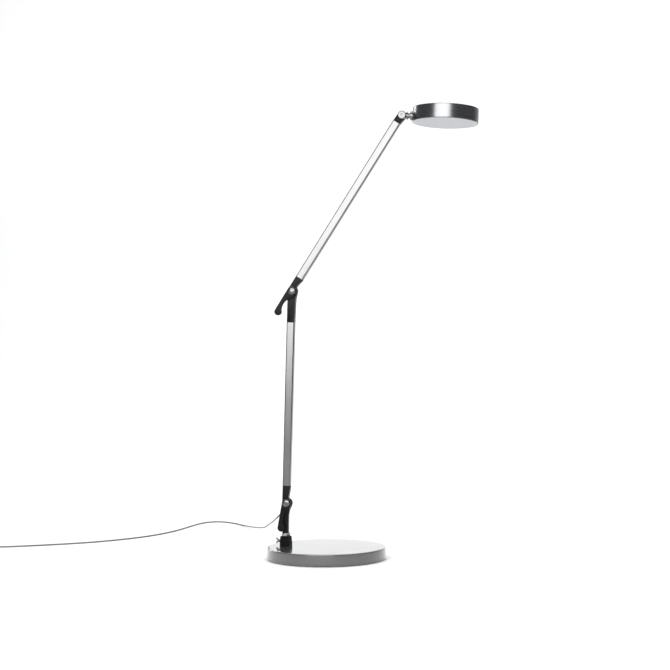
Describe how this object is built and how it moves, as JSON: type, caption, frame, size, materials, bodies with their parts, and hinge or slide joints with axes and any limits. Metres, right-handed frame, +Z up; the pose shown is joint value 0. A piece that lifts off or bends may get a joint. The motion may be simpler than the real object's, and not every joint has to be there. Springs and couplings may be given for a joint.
{
  "type": "architect_desk_lamp",
  "caption": "Architect desk lamp with a round weighted base, swivelling stem, square aluminium arms on clamped friction joints, and a round panel head on a turning neck.",
  "frame": {"origin": "centre of the base's flat underside, where the lamp stands on a table", "axes": "+X lies in the plane of the arms, towards the light head; +Y is across the arms, away from the clamp levers; +Z is up"},
  "size_m": [1.0935, 0.6689, 0.8686],
  "materials": {
    "felt_pad": "soft closed-cell foam",
    "raw_steel": "rolled steel plate, oiled",
    "base_paint": "silver-grey gloss paint",
    "zinc_steel": "zinc plated",
    "black_moulding": "satin-gloss moulded nylon",
    "ivory_nylon": "natural nylon",
    "bright_steel": "satin nickel plate",
    "black_nickel": "polished black nickel plate",
    "cord_rubber": "matt moulded rubber",
    "satin_aluminium": "satin anodised extrusion",
    "cord_sheath": "light grey PVC sheath",
    "raw_aluminium": "cast and machined",
    "dark_anodised": "dark grey anodised, spun grain",
    "white_film": "white reflective film",
    "led_phosphor": "phosphor over a flexible strip",
    "clear_acrylic": "clear acrylic light guide",
    "opal_acrylic": "opal acrylic",
    "circuit_board": "solder mask",
    "button_plastic": "satin moulded plastic",
    "adapter_plastic": "textured black plastic"
  },
  "bodies": {
    "root": {"base_pad": "felt_pad", "base_weight": "raw_steel", "base_cover": "base_paint", "base_screws": "zinc_steel", "socket": "black_moulding", "socket_screws": "zinc_steel", "swivel_bush": "ivory_nylon", "cord_run": "cord_sheath", "cord_coil": "cord_sheath", "coil_tie": "cord_rubber", "cord_end": "cord_sheath", "adapter_body": "adapter_plastic", "adapter_relief": "cord_rubber", "adapter_pins": "bright_steel"},
    "thumb": {"thumb_screw": "bright_steel"},
    "stem": {"swivel_pin": "bright_steel", "pin_retainer": "zinc_steel", "stem_collar": "bright_steel", "stem": "black_moulding", "cord_gland": "cord_rubber"},
    "lower_arm": {"lower_clevis": "black_moulding", "lower_washers": "ivory_nylon", "lower_bolt": "black_nickel", "lower_nut": "zinc_steel", "lower_tube": "satin_aluminium", "lower_tube_screws": "zinc_steel", "lower_lead": "cord_sheath", "elbow_knuckle": "black_moulding"},
    "lower_lever": {"lower_lever": "black_moulding"},
    "upper_arm": {"elbow_clevis": "black_moulding", "elbow_washers": "ivory_nylon", "elbow_bolt": "black_nickel", "elbow_nut": "zinc_steel", "upper_tube": "satin_aluminium", "upper_tube_screws": "zinc_steel", "upper_lead": "cord_sheath", "head_fork": "black_moulding", "head_washers": "ivory_nylon", "head_bolt": "bright_steel", "head_nut": "zinc_steel"},
    "elbow_lever": {"elbow_lever": "black_moulding"},
    "neck": {"neck_spindle": "bright_steel", "neck_nut": "zinc_steel"},
    "head": {"neck_collar": "dark_anodised", "neck_bush": "ivory_nylon", "neck_block": "raw_aluminium", "neck_screws": "zinc_steel", "head_shell": "dark_anodised", "back_plate": "raw_aluminium", "plate_screws": "zinc_steel", "reflector_sheet": "white_film", "led_strip": "led_phosphor", "light_guide": "clear_acrylic", "diffuser": "opal_acrylic", "bezel": "opal_acrylic", "driver_board": "circuit_board"},
    "button": {"power_button": "button_plastic"}
  },
  "joints": [
    {"name": "base_swivel", "type": "hinge", "parent": "root", "child": "stem", "pos_m": [-0.08, 0, 0.045], "axis": [0, 0, 1], "range_deg": [-90, 90], "deforming": ["cord_run"]},
    {"name": "lower_tilt", "type": "hinge", "parent": "stem", "child": "lower_arm", "pos_m": [-0.0765, 0, 0.1065], "axis": [0, 1, 0], "range_deg": [-30, 45]},
    {"name": "elbow_tilt", "type": "hinge", "parent": "lower_arm", "child": "upper_arm", "pos_m": [-0.06281, 0, 0.51927], "axis": [0, 1, 0], "range_deg": [-60, 50]},
    {"name": "head_tilt", "type": "hinge", "parent": "upper_arm", "child": "neck", "pos_m": [0.15505, 0, 0.85474], "axis": [0, 1, 0], "range_deg": [-60, 42]},
    {"name": "head_swivel", "type": "hinge", "parent": "neck", "child": "head", "pos_m": [0.15505, 0, 0.85474], "axis": [0.9986, 0, -0.0523], "range_deg": [-90, 90]},
    {"name": "power_push", "type": "slide", "parent": "head", "child": "button", "axis": [-0.0523, 0, -0.9986], "range_m": [0, 0.0008], "stiffness_N_per_m": 600},
    {"name": "lower_lever_turn", "type": "hinge", "parent": "lower_arm", "child": "lower_lever", "pos_m": [-0.0765, 0, 0.1065], "axis": [0, 1, 0], "range_deg": [-30, 60]},
    {"name": "elbow_lever_turn", "type": "hinge", "parent": "upper_arm", "child": "elbow_lever", "pos_m": [-0.06281, 0, 0.51927], "axis": [0, 1, 0], "range_deg": [-30, 60]},
    {"name": "thumb_turn", "type": "hinge", "parent": "root", "child": "thumb", "pos_m": [-0.08, 0, 0.0325], "axis": [-0.9511, 0.309, 0], "range_deg": [-90, 90]}
  ]
}
